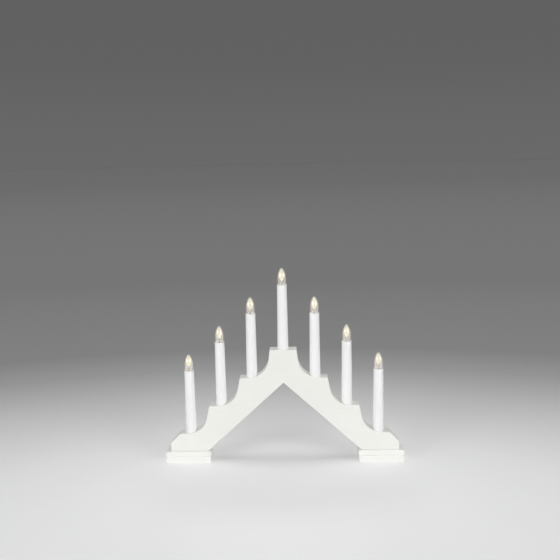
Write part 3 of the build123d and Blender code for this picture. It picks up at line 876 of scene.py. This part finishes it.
    def stem(self, number: int, rim: Vector) -> None:
        """Makes the dull stem that holds the core, from the heart to its base in the neck.

        Args:
            number: Which bulb, from 1 at the left.
            rim: Middle of the rim of its lampholder.
        """
        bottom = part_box(f"bulb_core_{number}")[0].z - rim.z
        base, base_top = self.neck_radius - self.glass_wall - self.fit, bottom + self.base_height
        profile = rounded([
            (0, self.heart_bottom, 0),
            (self.stem_radius * self.stem_end_share, self.heart_bottom, self.stem_end_rounding),
            (self.stem_radius, self.stem_top, self.stem_rounding),
            (self.stem_radius, base_top, self.root_rounding),
            (base, base_top, self.base_rounding), (base, bottom, 0), (0, bottom, 0)])
        surface = lathe(Stand(rim), profile, self.columns)
        finish_piece(f"stem_{number}", [surface], self.finishes.stem,
                     f"bulb_{number}")

    def cap(self, number: int, rim: Vector) -> None:
        """Makes the cap with its rolled thread.

        The thread is a cosine wave that climbs one pitch per turn and fades at both ends.

        Args:
            number: Which bulb, from 1 at the left.
            rim: Middle of the rim of its lampholder.
        """
        low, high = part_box(f"bulb_cap_{number}")
        radius, length = (high.x - low.x) / 2, high.z - low.z
        run = np.linspace(length, self.cone_height, self.cap_rows)[:, None]
        angle = np.linspace(0, 2 * np.pi, self.columns, endpoint=False)[None]
        height_above_rim = run + low.z - rim.z
        wave = (1 - np.cos(2 * np.pi * height_above_rim / self.thread_pitch - angle)) / 2
        inner_end, outer_end = run - self.cone_height, length - run
        fade = np.clip(np.minimum(inner_end, outer_end) / self.thread_pitch, 0, 1)
        outside = radius - self.thread_depth * wave * fade
        flat = np.ones_like(angle)
        hole = self.plug_radius + self.fit
        inside = (outside - self.cap_wall)[::-1]
        radii = np.concatenate([outside, hole * flat, hole * flat, inside])
        inner_run = np.maximum(run[::-1], self.cone_height + self.cap_wall)
        heights = np.concatenate([run * flat, 0 * flat, self.cap_wall * flat, inner_run * flat])
        stand = Stand(Vector((rim.x, rim.y, low.z)))
        surface = turned(stand, radii, heights, self.columns, ring=True)
        finish_piece(f"threaded_cap_{number}", [surface], self.finishes.nickel,
                     f"bulb_{number}", (f"bulb_cap_{number}",), crease=50.0)

    def contact(self, number: int, rim: Vector) -> None:
        """Makes the dark insulator and the drop of solder that is the centre contact.

        Args:
            number: Which bulb, from 1 at the left.
            rim: Middle of the rim of its lampholder.
        """
        low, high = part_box(f"bulb_tip_{number}")
        plug, length = (high.x - low.x) / 2, high.z - low.z
        pip, drop = plug * (1 - self.pip_share), self.pip_height
        disc = rounded([(0, length, 0), (plug, length, 0), (plug, drop, self.plug_rounding),
                        (pip, drop, 0), (0, drop, 0)])
        bead = arc((0, 0), 1, 0, -90, self.pip_arc) * (pip, drop) + (0, drop)
        seat = drop + self.pip_seat
        stand = Stand(Vector((rim.x, rim.y, low.z)))
        insulator = lathe(stand, disc, self.plug_columns)
        solder = lathe(stand, np.concatenate([[[0, seat], [pip, seat]], bead]), self.plug_columns)
        finish_piece(f"insulator_{number}", [insulator], self.finishes.insulator,
                     f"tip_{number}", (f"bulb_tip_{number}",))
        finish_piece(f"solder_pip_{number}", [solder], self.finishes.solder,
                     f"tip_{number}")

    def build(self, number: int) -> None:
        """Makes one bulb over the rim of its lampholder.

        Args:
            number: Which bulb, from 1 at the left.
        """
        low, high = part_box(f"lampholder_{number}")
        rim = Vector(((low.x + high.x) / 2, (low.y + high.y) / 2, high.z))
        for make in (self.glass, self.core, self.heart, self.stem, self.cap, self.contact):
            make(number, rim)


@dataclass
class CrossHeadScrews:
    """Countersunk wood screws with a cross recess and a cut thread."""

    node: str
    head: ScrewHead
    finishes: Finishes
    pitch: float
    columns: int = 48
    shank_share: float = 0.5
    head_height_share: float = 0.63
    arm_length_share: float = 0.62
    arm_width_share: float = 0.17
    recess_share: float = 0.42
    recess_floor_share: float = 0.8
    edge_share: float = 0.04
    neck: float = 0.1 * MM
    plain_share: float = 0.25
    thread_share: float = 0.22
    rows_per_turn: int = 8
    weld_distance: float = 1e-6

    def solids(self) -> list[tuple[Vector, Vector]]:
        """Finds the node's separate solids, on a merged copy of its mesh.

        Returns:
            Lowest and highest corner of each solid's box.
        """
        node = bpy.data.objects[self.node]
        copy = bmesh.new()
        copy.from_mesh(node.data)
        bmesh.ops.remove_doubles(copy, verts=copy.verts, dist=self.weld_distance)
        left, boxes = set(copy.verts), []
        while left:
            island, edge = [], [left.pop()]
            while edge:
                vertex = edge.pop()
                island.append(vertex.co.copy())
                near = {e.other_vert(vertex) for e in vertex.link_edges} & left
                left -= near
                edge.extend(near)
            places = np.array(island)
            boxes.append((Vector(places.min(0)), Vector(places.max(0))))
        copy.free()
        return boxes

    def recess_edge(self, head: float) -> np.ndarray:
        """Outline of the cross recess: the nearer of an arm's side and its end.

        Args:
            head: Radius of the screw's head.

        Returns:
            The outline's radius at each column.
        """
        angle = np.linspace(0, 2 * np.pi, self.columns, endpoint=False)
        major = np.maximum(abs(np.cos(angle)), abs(np.sin(angle)))
        minor = np.minimum(abs(np.cos(angle)), abs(np.sin(angle)))
        side = self.arm_width_share * head / np.maximum(minor, NEAR_ZERO)
        end = self.arm_length_share * head / major
        return np.minimum(side, end)

    def surface(self, low: Vector, high: Vector) -> bmesh.types.BMesh:
        """Makes one screw from its recess, over its head and down its thread to its point.

        Args:
            low: Lowest corner of the screw's box.
            high: Its highest corner.

        Returns:
            The closed surface.
        """
        along, zero = self.head.value
        middle, size = (low + high) / 2, high - low
        length = abs(size.dot(along))
        head = abs(size.dot(zero)) / 2
        shank, head_height = head * self.shank_share, head * self.head_height_share
        edge = self.recess_edge(head)[None]
        flat = np.ones_like(edge)
        depth = head * self.recess_share
        rings = [(0 * flat, -depth * flat), (edge * self.recess_floor_share, -depth * flat),
                 (edge, 0 * flat), (head * flat, 0 * flat),
                 (head * flat, -self.edge_share * head * flat),
                 (shank * flat, -head_height * flat)]
        rows = int(self.rows_per_turn * length / self.pitch)
        run = np.linspace(head_height + self.neck, length - shank, rows)[:, None]
        angle = np.linspace(0, 2 * np.pi, self.columns, endpoint=False)[None]
        wave = (1 - np.cos(2 * np.pi * run / self.pitch + angle)) / 2
        start = head_height + self.plain_share * length
        fade = np.clip((run - start) / self.pitch, 0, 1)
        thread = shank * (1 - self.thread_share * wave * fade)
        radii = np.concatenate([radius for radius, _ in rings] + [thread, 0 * flat])
        heights = np.concatenate([height for _, height in rings] + [-run * flat, -length * flat])
        stand = Stand(middle + along * length / 2, along, zero)
        return turned(stand, radii, heights, self.columns)

    def build(self) -> None:
        """Makes every screw of the node as one piece."""
        parts = [self.surface(low, high) for low, high in self.solids()]
        finish_piece(f"{self.node}_cut", parts, self.finishes.zinc, "root",
                     (self.node,))


@dataclass(frozen=True)
class Lamp:
    """Broad distant lamp.

    Its azimuth is in degrees to the right of the front, its elevation in degrees above the
    horizon and its angle is how wide it looks from the arch. Its strength is the level at which
    it lights a white surface that faces it, and a mirrored lamp shows in gloss and through glass.
    """

    name: str
    azimuth: float
    elevation: float
    strength: float
    angle: float
    mirrored: bool = True

    def hang(self) -> None:
        """Adds the lamp to the scene."""
        light = bpy.data.lights.new(self.name, "SUN")
        light.energy = self.strength * math.pi
        light.angle = math.radians(self.angle)
        lamp = bpy.data.objects.new(self.name, light)
        lamp.rotation_euler = (math.radians(90 - self.elevation), 0, math.radians(self.azimuth))
        lamp.visible_glossy = lamp.visible_transmission = self.mirrored
        bpy.context.scene.collection.objects.link(lamp)


@dataclass
class Studio:
    """Pale floor, grey backdrop, soft lamps and the photograph's camera."""

    eye: Vector = Vector((0.0313, -1.150, 0.4898))
    azimuth: float = 1.69
    pitch: float = 9.58
    roll: float = 1.15
    lens: float = 47.58
    sensor: float = 36.0
    lamps: tuple[Lamp, ...] = (
        Lamp("key_left", -50.0, 4.0, 0.74, 40.0),
        Lamp("key_right", 50.0, 4.0, 0.74, 40.0),
        Lamp("overhead", 0.0, 92.0, 0.24, 24.0),
        Lamp("canopy", 0.0, 74.0, 0.12, 45.0),
        Lamp("front", 0.0, 56.0, 0.08, 24.0),
        Lamp("back_fill", 180.0, 1.0, 0.42, 8.0, mirrored=False),
    )
    lit_share: float = 0.73
    glow_tint: Triple = (0.995, 1.0, 1.008)
    floor_middle: Pair = (0.0, -0.25)
    floor_breadth: float = 1.6
    floor_stops: tuple[Pair, ...] = (
        (0.0, 0.72), (0.2, 0.68), (0.33, 0.625), (0.63, 0.38), (0.77, 0.275), (0.95, 0.205),
        (2.0, 0.167), (12.0, 0.138), (40.0, 0.130))
    floor_rings: tuple[float, ...] = (0.0, 0.5, 1.0, 2.0, 4.0, 10.0, 40.0)
    floor_columns: int = 96
    # Painted shade: a greyer patch on the floor just in front of the arch, against the arch's
    # bounced light.
    painted_shade_middle: Pair = (0.0, -0.1)
    painted_shade_breadth: float = 1.7
    painted_shade_stops: tuple[Pair, ...] = ((0.0, 0.9), (0.06, 0.91), (0.15, 1.0))
    ambient_stops: tuple[Pair, ...] = ((0.0, 0.2), (1.0, 0.0))
    sky_stops: tuple[Pair, ...] = ((0.0, 0.143), (0.12, 0.122), (1.0, 0.10))
    sine_steps: int = 101

    @property
    def floor_light(self) -> float:
        """Light that falls on the open floor, from the world and from every lamp.

        The world's share is the mean of its level weighted by twice the sine of the height.
        """
        sine = np.linspace(0, 1, self.sine_steps)
        world = np.mean(2 * sine * np.interp(sine, *zip(*self.ambient_stops)))
        return world + sum(lamp.strength * math.sin(math.radians(lamp.elevation))
                           for lamp in self.lamps)

    def floor_level(self, graph: Graph) -> Socket:
        """Grey level of the floor: pale up to the arch, and greyer with distance behind it.

        A patch just before the arch is painted a little greyer: painted shade that offsets the
        light the arch throws on the floor there.

        Args:
            graph: The floor's node tree.

        Returns:
            The grey level.
        """
        place = graph.tree.nodes.new("ShaderNodeTexCoord").outputs["Object"]
        behind = graph.tree.nodes.new("ShaderNodeVectorMath")
        behind.operation = "MAXIMUM"
        behind.inputs[1].default_value = (-self.floor_rings[-1], 0, 0)
        graph.link(graph.offset(place, self.floor_middle, self.floor_breadth), behind.inputs[0])
        far = graph.ramp(graph.length(behind.outputs["Vector"]), self.floor_stops)
        # Painted shade: the floor's level is lowered close in front of the arch.
        painted_shade_distance = graph.length(graph.offset(place, self.painted_shade_middle, self.painted_shade_breadth))
        return graph.maths("MULTIPLY", far, graph.ramp(painted_shade_distance, self.painted_shade_stops))

    def floor_material(self) -> Material:
        """Builds the floor's material, whose level is partly lit and partly its own.

        Returns:
            The material.
        """
        material = bpy.data.materials.new("studio_floor")
        material.use_nodes = True
        graph = Graph(material.node_tree)
        nodes = graph.tree.nodes
        nodes.clear()
        level = self.floor_level(graph)
        lit = graph.maths("MULTIPLY", level, self.lit_share / self.floor_light)
        shown = graph.maths("MULTIPLY", level, graph.seen())
        strength = graph.maths("MULTIPLY", shown, 1 - self.lit_share)
        diffuse, glow = nodes.new("ShaderNodeBsdfDiffuse"), nodes.new("ShaderNodeEmission")
        graph.link(lit, diffuse.inputs["Color"])
        glow.inputs["Color"].default_value = (*self.glow_tint, 1)
        graph.link(strength, glow.inputs["Strength"])
        both, output = nodes.new("ShaderNodeAddShader"), nodes.new("ShaderNodeOutputMaterial")
        graph.link(diffuse.outputs[0], both.inputs[0])
        graph.link(glow.outputs[0], both.inputs[1])
        graph.link(both.outputs[0], output.inputs["Surface"])
        return material

    def floor(self) -> None:
        """Lays the floor as a wide disc."""
        radius = np.array(self.floor_rings)
        disc = turned(Stand(Vector((0, 0, 0))), radius, 0 * radius, self.floor_columns)
        mesh = bpy.data.meshes.new("floor")
        disc.to_mesh(mesh)
        disc.free()
        mesh.materials.append(self.floor_material())
        floor = bpy.data.objects.new("floor", mesh)
        bpy.context.scene.collection.objects.link(floor)

    def world(self) -> None:
        """Sets soft light, strongest near the horizon, and the grey backdrop where it is seen."""
        world = bpy.data.worlds.new("studio_world")
        bpy.context.scene.world = world
        world.use_nodes = True
        graph = Graph(world.node_tree)
        nodes = graph.tree.nodes
        split, mix = nodes.new("ShaderNodeSeparateXYZ"), nodes.new("ShaderNodeMix")
        graph.link(nodes.new("ShaderNodeTexCoord").outputs["Generated"], split.inputs[0])
        graph.link(graph.seen(), mix.inputs["Factor"])
        for name, stops in (("A", self.ambient_stops), ("B", self.sky_stops)):
            graph.link(graph.ramp(split.outputs["Z"], stops), mix.inputs[name])
        background = nodes["Background"]
        background.inputs["Color"].default_value = (1, 1, 1, 1)
        graph.link(mix.outputs["Result"], background.inputs["Strength"])

    def camera(self) -> None:
        """Sets the camera where the photograph was taken from."""
        data = bpy.data.cameras.new("camera")
        data.lens = self.lens
        data.sensor_width = self.sensor
        data.clip_end = 2 * self.floor_rings[-1]
        camera = bpy.data.objects.new("camera", data)
        turn = Matrix.Rotation(math.radians(self.azimuth), 4, "Z")
        tilt = Matrix.Rotation(math.radians(90 - self.pitch), 4, "X")
        lean = Matrix.Rotation(math.radians(-self.roll), 4, "Z")
        camera.matrix_world = Matrix.Translation(self.eye) @ turn @ tilt @ lean
        bpy.context.scene.collection.objects.link(camera)
        bpy.context.scene.camera = camera

    def build(self) -> None:
        """Sets up the floor, world, lamps and camera."""
        self.floor()
        self.world()
        for lamp in self.lamps:
            lamp.hang()
        self.camera()
        bpy.context.scene.view_settings.view_transform = "Standard"


def corners(box: tuple[Vector, Vector]) -> list[list[float]]:
    """A box as plain lists of numbers."""
    return [list(corner) for corner in box]


def main() -> None:
    """Sets up the studio, then builds the arch round its frame."""
    logging.basicConfig(level=logging.INFO, format="%(name)s: %(message)s")
    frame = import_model()
    turn_ratio = frame["record"]["behaviour"]["couplings"][0]["ratio"]
    finishes = Finishes()
    Studio().build()
    Timber(frame, finishes).build()
    tube = CandleTube(finishes)
    bulb = Bulb(finishes, thread_pitch=2 * math.pi * turn_ratio)
    for number in CANDLES:
        tube.build(number)
        bulb.build(number)
    CrossHeadScrews("foot_screws", ScrewHead.DOWNWARD, finishes, pitch=1.4 * MM).build()
    CrossHeadScrews("cover_screws", ScrewHead.BACKWARD, finishes, pitch=0.8 * MM).build()


if __name__ == "__main__":
    main()
